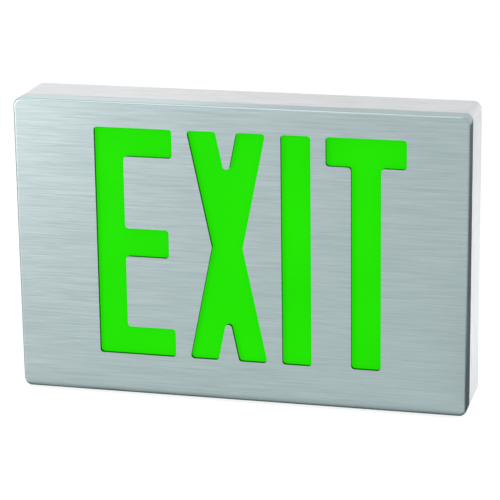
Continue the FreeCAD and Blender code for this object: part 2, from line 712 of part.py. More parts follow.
# ---- reflector tray and lamps ---------------------------------------------------------
def reflector_tray():
    """Folded sheet: a floor with its top and bottom edges bent forward."""
    outer_r = TRAY_BEND_R + TRAY_T
    half = TRAY_HALF_H
    front = TRAY_BACK_Y - TRAY_T - TRAY_FLANGE
    corners = [(front, -half), (TRAY_BACK_Y, -half), (TRAY_BACK_Y, half), (front, half),
               (front, half - TRAY_T), (TRAY_Y, half - TRAY_T), (TRAY_Y, TRAY_T - half),
               (front, TRAY_T - half)]
    radii = [0, outer_r, outer_r, 0, 0, TRAY_BEND_R, TRAY_BEND_R, 0]
    wire = rounded_wire([vec(-TRAY_HALF_W, y, z) for y, z in corners], radii)
    tray = Part.Face(wire).extrude(ALONG_X * 2 * TRAY_HALF_W)
    edge_x, edge_z = TRAY_HALF_W - TRAY_NOTCH, TRAY_HALF_H - TRAY_NOTCH * 2
    cutters = []
    for sx, sz in corners_of(1, 1):
        x_range = sorted((sx * edge_x, sx * (TRAY_HALF_W + THROUGH)))
        z_range = sorted((sz * edge_z, sz * (TRAY_HALF_H + THROUGH)))
        cutters.append(box(*x_range, front - THROUGH, TRAY_BACK_Y + THROUGH, *z_range))
    cutters += [drill(TRAY_HOLE_R, TRAY_T, x, TRAY_Y, z)
                for x, z in corners_of(TRAY_BOSS_X, TRAY_BOSS_Z)]
    cutters += [drill(BOARD_SCREW_R, TRAY_T, x, TRAY_Y, z) for x, z in board_hole_places()]
    cutters += [drill(BOARD_SCREW_R, TRAY_T, BATTERY_X, TRAY_Y, z)
                for z in strap_screw_places()]
    cutters += [rod(RIVET_R, 2 * TRAY_HALF_H, x, strip_middle_y(), -TRAY_HALF_H, ALONG_Z)
                for x in (-STRIP_RIVET_X / 2, STRIP_RIVET_X / 2)]
    return tray.cut(cutters)


def strip_middle_y():
    return TRAY_Y - TRAY_BEND_R - STRIP_W / 2


def led_strip(side):
    outside = TRAY_HALF_H - TRAY_T
    low, high = sorted((side * (outside - STRIP_T), side * outside))
    middle = strip_middle_y()
    strip = box(-STRIP_L / 2, STRIP_L / 2, middle - STRIP_W / 2, middle + STRIP_W / 2, low, high)
    holes = [drill(RIVET_R, STRIP_T, x, middle, low, ALONG_Z)
             for x in (-STRIP_RIVET_X / 2, STRIP_RIVET_X / 2)]
    return strip.cut(holes)


def lamps(side):
    """White lamp packages on a strip, each with a shallow round window."""
    seat = side * (TRAY_HALF_H - TRAY_T - STRIP_T)
    inward = ALONG_Z * -side
    packages = []
    for i in range(LAMP_COUNT):
        x = (i - (LAMP_COUNT - 1) / 2) * LAMP_PITCH
        low, high = sorted((seat, seat - side * LAMP_T))
        body = box(x - LAMP_L / 2, x + LAMP_L / 2, strip_middle_y() - LAMP_W / 2,
                   strip_middle_y() + LAMP_W / 2, low, high)
        window = rod(LAMP_LENS_R, LAMP_LENS_T, x, strip_middle_y(),
                     seat - side * (LAMP_T - LAMP_LENS_T), inward)
        packages.append(body.cut(window))
    return packages


def strip_rivets():
    rivets = []
    for side in (-1, 1):
        for x in (-STRIP_RIVET_X / 2, STRIP_RIVET_X / 2):
            base = vec(x, strip_middle_y(), side * (TRAY_HALF_H - TRAY_T - STRIP_T))
            rivets.append(rivet(base, ALONG_Z * side, STRIP_T + TRAY_T))
    return rivets


def tray_screws():
    return [pan_head_screw(PILOT_R, PILOT_L, x, TRAY_Y, z)
            for x, z in corners_of(TRAY_BOSS_X, TRAY_BOSS_Z)]


# ---- driver board ---------------------------------------------------------------------
def board_hole_places():
    x, z = BOARD_W / 2 - BOARD_HOLE_IN, BOARD_H / 2 - BOARD_HOLE_IN
    return [(BOARD_X + dx, BOARD_Z + dz) for dx, dz in corners_of(x, z)]


def driver_board():
    board = block(BOARD_W, BOARD_H, BOARD_R, BOARD_Y, BOARD_T, BOARD_X, BOARD_Z)
    return board.cut([drill(BOARD_SCREW_R, BOARD_T, x, BOARD_Y, z)
                      for x, z in board_hole_places()])


def hexagon(radius):
    return [(radius * math.cos(math.radians(60 * i)), radius * math.sin(math.radians(60 * i)))
            for i in range(6)]


def board_spacers():
    spacers = []
    for x, z in board_hole_places():
        body = front_plate(hexagon(SPACER_R), 0, TRAY_BACK_Y, SPACER_L, x, z)
        spacers.append(body.cut(drill(BOARD_SCREW_R, SPACER_L, x, TRAY_BACK_Y, z)))
    return spacers


def board_screws():
    length = TRAY_T + SPACER_L + BOARD_T + BOARD_SCREW_PROUD
    return [pan_head_screw(BOARD_SCREW_R, length, x, TRAY_Y, z) for x, z in board_hole_places()]


def transformer():
    """Closed core with its winding on the middle limb, raised on the bobbin's foot."""
    x = BOARD_LEFT + CORE_W / 2
    z = BOARD_TOP - CORE_H / 2
    y = PARTS_Y + WINDING_PROUD + WINDING_CLEAR
    window_w = (CORE_W - 2 * CORE_LIMB - CORE_MIDDLE_LIMB) / 2
    window_h = CORE_H - 2 * CORE_LIMB
    offset = (CORE_MIDDLE_LIMB + window_w) / 2
    core = block(CORE_W, CORE_H, CORE_R, y, CORE_T, x, z)
    core = core.cut([block(window_w, window_h, CORE_R, y, CORE_T, x + side * offset, z)
                     for side in (-1, 1)])
    reach = CORE_MIDDLE_LIMB / 2 + window_w - WINDING_CLEAR
    half_h = window_h / 2 - WINDING_CLEAR
    wound = box(x - reach, x + reach, y - WINDING_PROUD, y + CORE_T + WINDING_PROUD,
                z - half_h, z + half_h)
    wound = wound.makeFillet(WINDING_R, [e for e in wound.Edges
                                         if abs(e.tangentAt(e.FirstParameter).z) > 0.9])
    half_foot = CORE_W / 2 - BOBBIN_INSET
    foot = box(x - half_foot, x + half_foot, PARTS_Y, y, z - half_h, z + half_h)
    return core, fuse([wound, foot]).cut(core)


def capacitors():
    """Electrolytic cans with a crimped groove near the foot and a sunk top."""
    top = CAPACITOR_L - CAN_TOP_DIP
    profile = [(0, 0), (CAPACITOR_R, 0), (CAPACITOR_R, CAN_GROOVE_UP - CAN_GROOVE),
               (CAPACITOR_R - CAN_GROOVE, CAN_GROOVE_UP),
               (CAPACITOR_R, CAN_GROOVE_UP + CAN_GROOVE),
               (CAPACITOR_R, CAPACITOR_L - CAN_EDGE), (CAPACITOR_R - CAN_EDGE, CAPACITOR_L),
               (CAPACITOR_R - CAN_RIM, CAPACITOR_L), (CAPACITOR_R - CAN_RIM, top), (0, top)]
    x = BOARD_RIGHT - CAPACITOR_R
    step = 2 * CAPACITOR_R + CAPACITOR_GAP
    return [turned(profile, vec(x, PARTS_Y, BOARD_TOP - CAPACITOR_R - i * step), ALONG_Y)
            for i in range(CAPACITOR_COUNT)]


def relay():
    z = BOARD_TOP - CORE_H - PART_GAP - RELAY_H / 2
    body = block(RELAY_W, RELAY_H, RELAY_R, PARTS_Y, RELAY_T, BOARD_LEFT + RELAY_W / 2, z)
    top = [e for e in body.Edges if abs(e.CenterOfMass.y - PARTS_Y - RELAY_T) < 1e-3]
    return body.makeChamfer(RELAY_EDGE, top)


def terminal_z():
    return BOARD_BOTTOM + TERMINAL_FROM_EDGE + TERMINAL_H / 2


def terminal_centres():
    return [BOARD_LEFT + (i + 0.5) * TERMINAL_PITCH for i in range(TERMINAL_COUNT)]


def terminal_block():
    """Row of clamps: a wire mouth in the lower side and a screw well on top of each."""
    width = TERMINAL_COUNT * TERMINAL_PITCH
    z = terminal_z()
    low = z - TERMINAL_H / 2
    body = block(width, TERMINAL_H, TERMINAL_R, PARTS_Y, TERMINAL_T, BOARD_LEFT + width / 2, z)
    cutters = []
    for x in terminal_centres():
        cutters.append(box(x - MOUTH_W / 2, x + MOUTH_W / 2, PARTS_Y + MOUTH_UP,
                           PARTS_Y + MOUTH_UP + MOUTH_T, low - THROUGH, low + MOUTH_DEPTH))
        cutters.append(rod(CLAMP_R, CLAMP_WELL + THROUGH, x, PARTS_Y + TERMINAL_T - CLAMP_WELL,
                           z))
    return body.cut(cutters)


def terminal_screws():
    z = terminal_z()
    seat = PARTS_Y + TERMINAL_T - CLAMP_WELL
    screws = []
    for x in terminal_centres():
        groove = box(x - CLAMP_R, x + CLAMP_R, seat + CLAMP_T - CLAMP_SLOT_DEPTH,
                     seat + CLAMP_T, z - CLAMP_SLOT_W / 2, z + CLAMP_SLOT_W / 2)
        screws.append(rod(CLAMP_R, CLAMP_T, x, seat, z).cut(groove))
    return screws


def wire_headers():
    """Two open sockets with their pins: one for the battery and one for the lamps."""
    headers = []
    x = BOARD_RIGHT - HEADER_W / 2
    top = BOARD_TOP - CAPACITOR_COUNT * (2 * CAPACITOR_R + CAPACITOR_GAP) - PART_GAP
    floor = PARTS_Y + HEADER_FLOOR
    for i in range(HEADER_COUNT):
        z = top - HEADER_H / 2 - i * HEADER_PITCH
        shell = block(HEADER_W, HEADER_H, HEADER_R, PARTS_Y, HEADER_T, x, z)
        well = block(HEADER_W - 2 * HEADER_WALL, HEADER_H - 2 * HEADER_WALL, HEADER_R, floor,
                     HEADER_T, x, z)
        pins = [block(PIN_W, PIN_W, PIN_R, PARTS_Y, PIN_L, x + side * PIN_PITCH / 2, z)
                for side in (-1, 1)]
        headers.append(fuse([shell.cut(well)] + pins))
    return headers


def heat_sink_place():
    return BOARD_RIGHT - SINK_W / 2, BOARD_BOTTOM + REGULATOR_T + SINK_H / 2


def heat_sink():
    """Extruded comb: a web against the regulator and upright fins away from it."""
    x, z = heat_sink_place()
    left, low = x - SINK_W / 2, z - SINK_H / 2
    step = (SINK_W - FIN_T) / (SINK_FINS - 1)
    bars = [box(left, left + SINK_W, PARTS_Y, PARTS_Y + SINK_T, low, low + SINK_WEB)]
    for i in range(SINK_FINS):
        bars.append(box(left + i * step, left + i * step + FIN_T, PARTS_Y, PARTS_Y + SINK_T,
                        low, low + SINK_H))
    return fuse(bars)


def regulator():
    """Three-legged package with its tab flat against the heat sink."""
    x, z = heat_sink_place()
    back = z - SINK_H / 2
    left, right = x - REGULATOR_W / 2, x + REGULATOR_W / 2
    body_low = PARTS_Y + REGULATOR_UP
    body_top = body_low + REGULATOR_L
    body = box(left, right, body_low, body_top, back - REGULATOR_T, back)
    tab = box(left, right, body_top - TAB_T, body_top + TAB_L, back - TAB_T, back)
    middle = back - LEG_IN - LEG_W / 2
    legs = [block(LEG_W, LEG_W, 0, PARTS_Y, REGULATOR_UP + LEG_W, x + step * LEG_PITCH, middle)
            for step in (-1, 0, 1)]
    return fuse([body, tab] + legs).cut(drill(TAB_HOLE_R, TAB_T, x, body_top + TAB_L - TAB_HOLE_IN,
                                              back - TAB_T, ALONG_Z))


# ---- battery --------------------------------------------------------------------------
def battery_middle_y():
    return TRAY_BACK_Y + BATTERY_SEAT + CELL_R


def battery_pack():
    """Cells side by side in one shrink sleeve that folds in over their ends."""
    pitch = 2 * CELL_R
    left = BATTERY_X - CELL_L / 2
    y = battery_middle_y()
    half_film = CELL_R - SLEEVE_DIP
    span = (CELLS - 1) * pitch
    centres = [BATTERY_Z - span / 2 + i * pitch for i in range(CELLS)]
    film = box(left, left + CELL_L, y - half_film, y + half_film, centres[0], centres[-1])
    pack = fuse([rod(CELL_R, CELL_L, left, y, z, ALONG_X) for z in centres] + [film])
    ends = []
    for z in centres:
        for start in (left, left + CELL_L - SLEEVE_LIP):
            ring = rod(CELL_R - SLEEVE_FOLD, SLEEVE_LIP, start, y, z, ALONG_X)
            ends.append(ring.cut(rod(CELL_NIP_R, SLEEVE_LIP, start, y, z, ALONG_X)))
    return pack.cut(ends)


def battery_half_height():
    return CELLS * CELL_R


def strap_screw_places():
    reach = battery_half_height() + STRAP_CLEAR + STRAP_T + STRAP_FOOT / 2
    return [BATTERY_Z - reach, BATTERY_Z + reach]


def battery_strap():
    """Steel strip bent over the pack, with a foot at each end."""
    inner = battery_half_height() + STRAP_CLEAR
    outer = inner + STRAP_T
    foot = outer + STRAP_FOOT
    floor = TRAY_BACK_Y
    under = battery_middle_y() + CELL_R + STRAP_CLEAR
    top = under + STRAP_T
    bend = STRAP_BEND_R + STRAP_T
    corners = [(floor, -foot), (floor + STRAP_T, -foot), (floor + STRAP_T, -outer),
               (top, -outer), (top, outer), (floor + STRAP_T, outer),
               (floor + STRAP_T, foot), (floor, foot), (floor, inner), (under, inner),
               (under, -inner), (floor, -inner)]
    radii = [0, 0, STRAP_FOOT_R, bend, bend, STRAP_FOOT_R, 0, 0, 0, STRAP_BEND_R,
             STRAP_BEND_R, 0]
    wire = rounded_wire([vec(BATTERY_X - STRAP_W / 2, y, z + BATTERY_Z) for y, z in corners],
                        radii)
    strap = Part.Face(wire).extrude(ALONG_X * STRAP_W)
    return strap.cut([drill(BOARD_SCREW_R, STRAP_T, BATTERY_X, floor, z)
                      for z in strap_screw_places()])


def strap_screws():
    length = TRAY_T + STRAP_T + STRAP_SCREW_PROUD
    return [pan_head_screw(BOARD_SCREW_R, length, BATTERY_X, TRAY_Y, z)
            for z in strap_screw_places()]


# ---- test button, switch and indicator ------------------------------------------------
def test_button():
    """Cap with a dished end, a flange that keeps it in the wall and a stem to the switch."""
    face = -WALL_T - BUTTON_PROUD
    stem_top = SWITCH_STAND - SWITCH_T - PLUNGER_L - BUTTON_TRAVEL - PLUNGER_GAP
    flange_top = BUTTON_STOP + BUTTON_FLANGE_T
    profile = [(0, face + BUTTON_DISH), (BUTTON_DISH_R, face), (BUTTON_R - BUTTON_EDGE, face),
               (BUTTON_R, face + BUTTON_EDGE), (BUTTON_R, BUTTON_STOP),
               (BUTTON_FLANGE_R, BUTTON_STOP), (BUTTON_FLANGE_R, flange_top),
               (BUTTON_STEM_R, flange_top), (BUTTON_STEM_R, stem_top), (0, stem_top)]
    return turned(profile, vec(BUTTON_X, BUTTON_Y, FLOOR_IN_Z), ALONG_Z)


def button_spring():
    """Open coil between the button's flange and the switch board."""
    low = FLOOR_IN_Z + BUTTON_STOP + BUTTON_FLANGE_T + SPRING_SEAT + SPRING_WIRE_R
    high = SWITCH_BOARD_Z - SPRING_SEAT - SPRING_WIRE_R
    rise = high - low
    helix = Part.makeHelix(rise / SPRING_TURNS, rise, SPRING_R)
    helix.translate(vec(BUTTON_X, BUTTON_Y, low))
    coil = helix.Edges[0]
    start, along = coil.valueAt(coil.FirstParameter), coil.tangentAt(coil.FirstParameter)
    across = ALONG_X.cross(along).normalize()
    turn = 2 * math.pi / SPRING_WIRE_SIDES
    corners = [start + (ALONG_X * math.cos(i * turn) + across * math.sin(i * turn))
               * SPRING_WIRE_R for i in range(SPRING_WIRE_SIDES)]
    section = Part.makePolygon(corners + [corners[0]])
    return Part.Wire(helix.Edges).makePipeShell([section], True, True)


def test_switch():
    bottom = SWITCH_BOARD_Z - SWITCH_T
    half = SWITCH_SIZE / 2
    body = box(BUTTON_X - half, BUTTON_X + half, BUTTON_Y - half, BUTTON_Y + half, bottom,
               SWITCH_BOARD_Z)
    plunger = rod(PLUNGER_R, PLUNGER_L, BUTTON_X, BUTTON_Y, bottom - PLUNGER_L, ALONG_Z)
    return fuse([body, plunger])


def switch_board():
    left = BUTTON_X - SWITCH_BOSS_STEP - SWITCH_BOARD_END
    right = INDICATOR_X + SWITCH_BOSS_STEP + SWITCH_BOARD_END
    board = box(left, right, BUTTON_Y - SWITCH_BOARD_D / 2, BUTTON_Y + SWITCH_BOARD_D / 2,
                SWITCH_BOARD_Z, SWITCH_BOARD_Z + SWITCH_BOARD_T)
    holes = [drill(M3_R, SWITCH_BOARD_T, x, BUTTON_Y, SWITCH_BOARD_Z, ALONG_Z)
             for x in switch_boss_places()]
    return board.cut(holes)


def switch_board_screws():
    return [pan_head_screw(M3_R, SWITCH_BOARD_T + PILOT_L - THROUGH, x, BUTTON_Y,
                           SWITCH_BOARD_Z + SWITCH_BOARD_T, -ALONG_Z)
            for x in switch_boss_places()]


def indicator_lens():
    """Clear light pipe pressed through the wall until its domed end stands just proud."""
    top = SWITCH_STAND - LED_L - INDICATOR_GAP
    profile = [(0, -WALL_T - INDICATOR_PROUD),
               (INDICATOR_R * DOME_R, -WALL_T - INDICATOR_PROUD * DOME_H),
               (INDICATOR_R, -WALL_T), (INDICATOR_R, 0), (INDICATOR_FLANGE_R, 0),
               (INDICATOR_FLANGE_R, INDICATOR_FLANGE_T), (INDICATOR_R, INDICATOR_FLANGE_T),
               (INDICATOR_R, top), (0, top)]
    return turned(profile, vec(INDICATOR_X, BUTTON_Y, FLOOR_IN_Z), ALONG_Z)


def indicator_led():
    profile = [(0, 0), (LED_RIM_R, 0), (LED_RIM_R, LED_RIM_T), (LED_R, LED_RIM_T),
               (LED_R, LED_L - LED_SHOULDER), (LED_DOME_R, LED_L - LED_DOME_T), (0, LED_L)]
    return turned(profile, vec(INDICATOR_X, BUTTON_Y, SWITCH_BOARD_Z), -ALONG_Z)


# ---- build ----------------------------------------------------------------------------
def main():
    os.makedirs("parts", exist_ok=True)
    core, winding = transformer()
    save("face_plate", [face_plate()])
    save("colour_panel", [panel(COLOUR_Y, COLOUR_T)])
    save("diffuser_panel", [panel(DIFFUSER_Y, DIFFUSER_T)])
    save("panel_push_nuts", push_nuts())
    save("housing_frame", [housing_frame()])
    save("face_clips", face_clips())
    save("clip_rivets", clip_rivets())
    save("back_plate", [back_plate()])
    save("back_plate_screws", back_plate_screws())
    save("entry_bushing", [entry_bushing()])
    save("earth_screw", [earth_screw()])
    save("reflector_tray", [reflector_tray()])
    save("tray_screws", tray_screws())
    save("upper_led_strip", [led_strip(1)])
    save("lower_led_strip", [led_strip(-1)])
    save("upper_leds", lamps(1))
    save("lower_leds", lamps(-1))
    save("strip_rivets", strip_rivets())
    save("driver_board", [driver_board()])
    save("board_spacers", board_spacers())
    save("board_screws", board_screws())
    save("transformer_core", [core])
    save("transformer_winding", [winding])
    save("capacitors", capacitors())
    save("relay", [relay()])
    save("terminal_block", [terminal_block()])
    save("terminal_screws", terminal_screws())
    save("wire_headers", wire_headers())
    save("heat_sink", [heat_sink()])
    save("regulator", [regulator()])
    save("battery_pack", [battery_pack()])
    save("battery_strap", [battery_strap()])
    save("strap_screws", strap_screws())
    save("switch_board", [switch_board()])
    save("switch_board_screws", switch_board_screws())
    save("test_switch", [test_switch()])
    save("test_button", [test_button()])
    save("button_spring", [button_spring()])
    save("indicator_led", [indicator_led()])
    save("indicator_lens", [indicator_lens()])


main()
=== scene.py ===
# %% [markdown]
# # Emergency exit light
# A wall-mounted exit light: a brushed aluminium face with the word cut right through it,
# a lit green panel behind the cut-outs, and a shallow housing in a paler lacquer that holds
# the lamps, the driver board and the battery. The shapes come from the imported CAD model,
# which is a fixed frame here. This script gives them their finishes, a studio and a camera.

# %% Load the frame
import json
import math

import bmesh
import bpy
from mathutils import Euler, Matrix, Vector


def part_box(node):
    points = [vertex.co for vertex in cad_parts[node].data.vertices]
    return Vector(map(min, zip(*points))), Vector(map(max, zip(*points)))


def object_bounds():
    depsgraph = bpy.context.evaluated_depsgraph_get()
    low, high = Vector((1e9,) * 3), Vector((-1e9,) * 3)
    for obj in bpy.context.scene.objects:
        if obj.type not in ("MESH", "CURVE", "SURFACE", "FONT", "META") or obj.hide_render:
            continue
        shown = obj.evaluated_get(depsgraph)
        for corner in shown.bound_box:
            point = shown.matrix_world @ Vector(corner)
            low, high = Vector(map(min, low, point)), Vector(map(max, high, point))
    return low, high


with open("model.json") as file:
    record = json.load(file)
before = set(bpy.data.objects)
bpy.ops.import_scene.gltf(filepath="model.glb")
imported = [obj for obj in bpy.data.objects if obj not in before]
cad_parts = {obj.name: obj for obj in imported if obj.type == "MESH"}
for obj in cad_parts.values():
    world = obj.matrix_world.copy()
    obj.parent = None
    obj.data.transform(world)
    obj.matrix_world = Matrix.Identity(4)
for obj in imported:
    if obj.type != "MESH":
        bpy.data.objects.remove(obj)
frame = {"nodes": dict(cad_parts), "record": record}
cad_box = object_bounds()
print("CAD box in metres:", [tuple(round(v, 4) for v in corner) for corner in cad_box])

# %% [markdown]
# ## Colours and nodes
# A hex colour is what a screen shows, and a shader wants linear light. One function turns
# the first into the second, so every colour below can be written as it looks. A second
# small function adds a node with its settings and its inputs in one line, which keeps each
# material short enough to read as a recipe. Most of the values in a noise lie between 0.3
# and 0.7, so those two limits are stretched to the full range of a tone or a gloss.

# %% Helpers for materials
MM = 0.001
NOISE_LOW, NOISE_HIGH = 0.3, 0.7


def linear(hex_colour):
    """An sRGB hex colour as the linear RGBA that shaders take."""
    levels = [int(hex_colour[i:i + 2], 16) / 255 for i in (1, 3, 5)]
    return [v / 12.92 if v <= 0.04045 else ((v + 0.055) / 1.055) ** 2.4 for v in levels] + [1.0]


def add_node(owner, kind, inputs=None, **settings):
    """Adds a node to a material or a world. Inputs take sockets or plain values."""
    node = owner.node_tree.nodes.new(kind)
    for name, value in settings.items():
        setattr(node, name, value)
    for name, source in (inputs or {}).items():
        if isinstance(source, bpy.types.NodeSocket):
            owner.node_tree.links.new(source, node.inputs[name])
        else:
            node.inputs[name].default_value = source
    return node


def new_material(name):
    """A new material, with its Principled shader and its Object coordinates."""
    material = bpy.data.materials.new(name)
    material.use_nodes = True
    shader = material.node_tree.nodes["Principled BSDF"]
    place = add_node(material, "ShaderNodeTexCoord").outputs["Object"]
    return material, shader, place


def join(material, source, shader, socket):
    """Links an output to one input of the shader."""
    material.node_tree.links.new(source, shader.inputs[socket])


# %% [markdown]
# ## Brushed aluminium
# The face and the housing are die-cast aluminium that was run along a belt of abrasive, so
# fine scratches lie along each side. A scratch is a fraction of a millimetre high and some
# centimetres long. A noise stretched along one axis gives them, with a scale per axis that
# comes from the real spacing. The finest real scratches would not show at this distance,
# so they are drawn about half a millimetre wide, with a few broader bands among them. The
# front, the top and the bottom are brushed along X, and the two ends are brushed upright:
# the surface's own normal chooses between the two. The scratches change the tone a little
# and tilt the surface a little, which spreads highlights across the grain. The face is bare
# metal and the housing is under a pale lacquer, so the recipe takes its tones, gloss and
# metal as arguments.

# %% Brushed aluminium
SCRATCH_WIDTH = 0.55 * MM
SCRATCH_LENGTH = 26 * MM
BAND_WIDTH = 1.6 * MM
BAND_LENGTH = 45 * MM
BAND_SHARE = 0.1
SCRATCH_DEPTH = 0.05 * MM
FACES_END = 0.7


def streaks(material, place, scale, detail):
    """Noise stretched to a size per axis, in metres."""
    stretched = add_node(material, "ShaderNodeMapping",
                         {"Vector": place, "Scale": Vector([1 / v for v in scale])})
    return add_node(material, "ShaderNodeTexNoise",
                    {"Vector": stretched.outputs["Vector"], "Scale": 1.0, "Detail": detail,
                     "Roughness": 0.6}).outputs["Fac"]


def grain(material, place, width, length, detail):
    """Streaks along X, or upright where the surface faces along X."""
    normal = add_node(material, "ShaderNodeTexCoord").outputs["Normal"]
    parts = add_node(material, "ShaderNodeSeparateXYZ", {"Vector": normal})
    sideways = add_node(material, "ShaderNodeMath", {0: parts.outputs["X"]},
                        operation="ABSOLUTE").outputs["Value"]
    is_end = add_node(material, "ShaderNodeMath", {0: sideways, 1: FACES_END},
                      operation="GREATER_THAN").outputs["Value"]
    along = streaks(material, place, (length, width, width), detail)
    upright = streaks(material, place, (width, width, length), detail)
    return add_node(material, "ShaderNodeMix", {"Factor": is_end, "A": along, "B": upright},
                    data_type="FLOAT").outputs[0]


def brushed_aluminium(name, pale, dark, gloss_low, gloss_high, depth, metallic=1.0):
    """Streaked metal or lacquer; the tone and the surface both follow the scratches."""
    material, shader, place = new_material(name)
    scratches = grain(material, place, SCRATCH_WIDTH, SCRATCH_LENGTH, 3.0)
    bands = grain(material, place, BAND_WIDTH, BAND_LENGTH, 1.0)
    both = add_node(material, "ShaderNodeMix", {"Factor": BAND_SHARE, "A": scratches, "B": bands},
                    data_type="FLOAT").outputs[0]
    tone = add_node(material, "ShaderNodeValToRGB", {"Fac": both})
    tone.color_ramp.elements[0].position = NOISE_LOW
    tone.color_ramp.elements[0].color = linear(dark)
    tone.color_ramp.elements[1].position = NOISE_HIGH
    tone.color_ramp.elements[1].color = linear(pale)
    join(material, tone.outputs["Color"], shader, "Base Color")
    gloss = add_node(material, "ShaderNodeMapRange",
                     {"Value": scratches, "From Min": NOISE_LOW, "From Max": NOISE_HIGH,
                      "To Min": gloss_low, "To Max": gloss_high}).outputs["Result"]
    join(material, gloss, shader, "Roughness")
    tilt = add_node(material, "ShaderNodeBump",
                    {"Height": scratches, "Strength": depth, "Distance": SCRATCH_DEPTH})
    join(material, tilt.outputs["Normal"], shader, "Normal")
    shader.inputs["Metallic"].default_value = metallic
    return material


# %% [markdown]
# ## Painted shade in the cut-outs
# The walls of the letters get a dark base colour, a painted shade that draws the thin dark
# line inside each letter. They are found from three facts: they lie within the width and
# the height of the green panel, and they don't face along Y.

# %% Painted shade on the walls of the cut-outs
FACES_FRONT = 0.5


def within(material, value, limit):
    """1 where the size of a value is under a limit, else 0."""
    size = add_node(material, "ShaderNodeMath", {0: value}, operation="ABSOLUTE")
    return add_node(material, "ShaderNodeMath", {0: size.outputs["Value"], 1: limit},
                    operation="LESS_THAN").outputs["Value"]


def paint_shade_on_cut_walls(material, colour):
    """Paints shade on the walls of the cut-outs as a dark base colour."""
    shader = material.node_tree.nodes["Principled BSDF"]
    coordinates = add_node(material, "ShaderNodeTexCoord")
    place = add_node(material, "ShaderNodeSeparateXYZ", {"Vector": coordinates.outputs["Object"]})
    normal = add_node(material, "ShaderNodeSeparateXYZ", {"Vector": coordinates.outputs["Normal"]})
    low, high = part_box("colour_panel")
    middle = add_node(material, "ShaderNodeMath",
                      {0: place.outputs["X"], 1: (low[0] + high[0]) / 2}, operation="SUBTRACT")
    tests = (within(material, middle.outputs["Value"], (high[0] - low[0]) / 2),
             within(material, place.outputs["Z"], (high[2] - low[2]) / 2),
             within(material, normal.outputs["Y"], FACES_FRONT))
    mask = tests[0]
    for test in tests[1:]:
        mask = add_node(material, "ShaderNodeMath", {0: mask, 1: test},
                        operation="MULTIPLY").outputs["Value"]
    brushed = shader.inputs["Base Color"].links[0].from_socket
    # Painted shade: inside the mask the base colour turns to the dark shade colour.
    tone = add_node(material, "ShaderNodeMix",
                    {"Factor": mask, "A": brushed, "B": linear(colour)}, data_type="RGBA")
    join(material, tone.outputs["Result"], shader, "Base Color")
    return material


# %% [markdown]
# ## Painted castings and sheet
# The back plate is a casting with a baked powder coat. Powder melts into a skin with a
# faint orange peel, a millimetre or two across, and a satin gloss. The tray
# inside has a matt white coat instead, because it only has to scatter light.

# %% Powder coat
PEEL_WIDTH = 1.4 * MM
PEEL_DEPTH = 0.1 * MM
CLOUD_WIDTH = 30 * MM
CLOUD_LOW, CLOUD_HIGH = 0.35, 0.65


def powder_coat(name, pale, dark, roughness, peel=0.05):
    """Satin or matt powder, with a faint peel."""
    material, shader, place = new_material(name)
    clouds = add_node(material, "ShaderNodeTexNoise",
                      {"Vector": place, "Scale": 1 / CLOUD_WIDTH, "Detail": 3.0}).outputs["Fac"]
    tone = add_node(material, "ShaderNodeValToRGB", {"Fac": clouds})
    tone.color_ramp.elements[0].position = CLOUD_LOW
    tone.color_ramp.elements[0].color = linear(dark)
    tone.color_ramp.elements[1].position = CLOUD_HIGH
    tone.color_ramp.elements[1].color = linear(pale)
    join(material, tone.outputs["Color"], shader, "Base Color")
    skin = add_node(material, "ShaderNodeTexNoise",
                    {"Vector": place, "Scale": 1 / PEEL_WIDTH, "Detail": 1.0}).outputs["Fac"]
    bump = add_node(material, "ShaderNodeBump",
                    {"Height": skin, "Strength": peel, "Distance": PEEL_DEPTH})
    join(material, bump.outputs["Normal"], shader, "Normal")
    shader.inputs["Roughness"].default_value = roughness
    return material


# %% [markdown]
# ## The lit panel
# Behind the cut-outs is a sheet of translucent green acrylic that the lamps light evenly,
# so it has almost no shading of its own. Emission carries that even glow, and the base
# colour is the same green, so that the sheet also looks right with the light off. A slow
# noise keeps a trace of the lamps' unevenness.

# %% Lit acrylic
LAMP_SPACING = 23 * MM


def lit_acrylic(name, colour, glow_colour, strength):
    """Translucent sheet or lens with an even glow between two near tones."""
    material, shader, place = new_material(name)
    pools = add_node(material, "ShaderNodeTexNoise",
                     {"Vector": place, "Scale": 1 / (2 * LAMP_SPACING),
                      "Detail": 0.0}).outputs["Fac"]
    tone = add_node(material, "ShaderNodeMix",
                    {"Factor": pools, "A": linear(colour), "B": linear(glow_colour)},
                    data_type="RGBA")
    join(material, tone.outputs["Result"], shader, "Base Color")
    join(material, tone.outputs["Result"], shader, "Emission Color")
    shader.inputs["Emission Strength"].default_value = strength
    shader.inputs["Specular IOR Level"].default_value = 0.03
    shader.inputs["Roughness"].default_value = 0.5
    return material


# %% [markdown]
# ## Metals of the fasteners and strips
# Screws, rivets and clips are zinc plated or bare spring steel. Plating has tiny crystals
# that show as soft mottling in the gloss rather than in the colour, so the noise here
# drives the roughness more than the tone.

# %% Plated and bare metal
CRYSTAL_WIDTH = 1.2 * MM


def plain_metal(name, pale, dark, low_gloss, high_gloss):
    """Plated or bare metal with a soft mottle in its gloss."""
    material, shader, place = new_material(name)
    mottle = add_node(material, "ShaderNodeTexNoise",
                      {"Vector": place, "Scale": 1 / CRYSTAL_WIDTH, "Detail": 2.0}).outputs["Fac"]
    tone = add_node(material, "ShaderNodeMix",
                    {"Factor": mottle, "A": linear(dark), "B": linear(pale)},
                    data_type="RGBA")
    join(material, tone.outputs["Result"], shader, "Base Color")
    gloss = add_node(material, "ShaderNodeMapRange",
                     {"Value": mottle, "From Min": NOISE_LOW, "From Max": NOISE_HIGH,
                      "To Min": low_gloss, "To Max": high_gloss}).outputs["Result"]
    join(material, gloss, shader, "Roughness")
    shader.inputs["Metallic"].default_value = 1.0
    return material


# %% [markdown]
# ## Moulded plastics
# Moulded parts copy the spark-eroded texture of their mould: a fine, even grain about a
# third of a millimetre across. It is drawn as bump, with a very slight change of tone, and
# each plastic then differs in colour and gloss only.

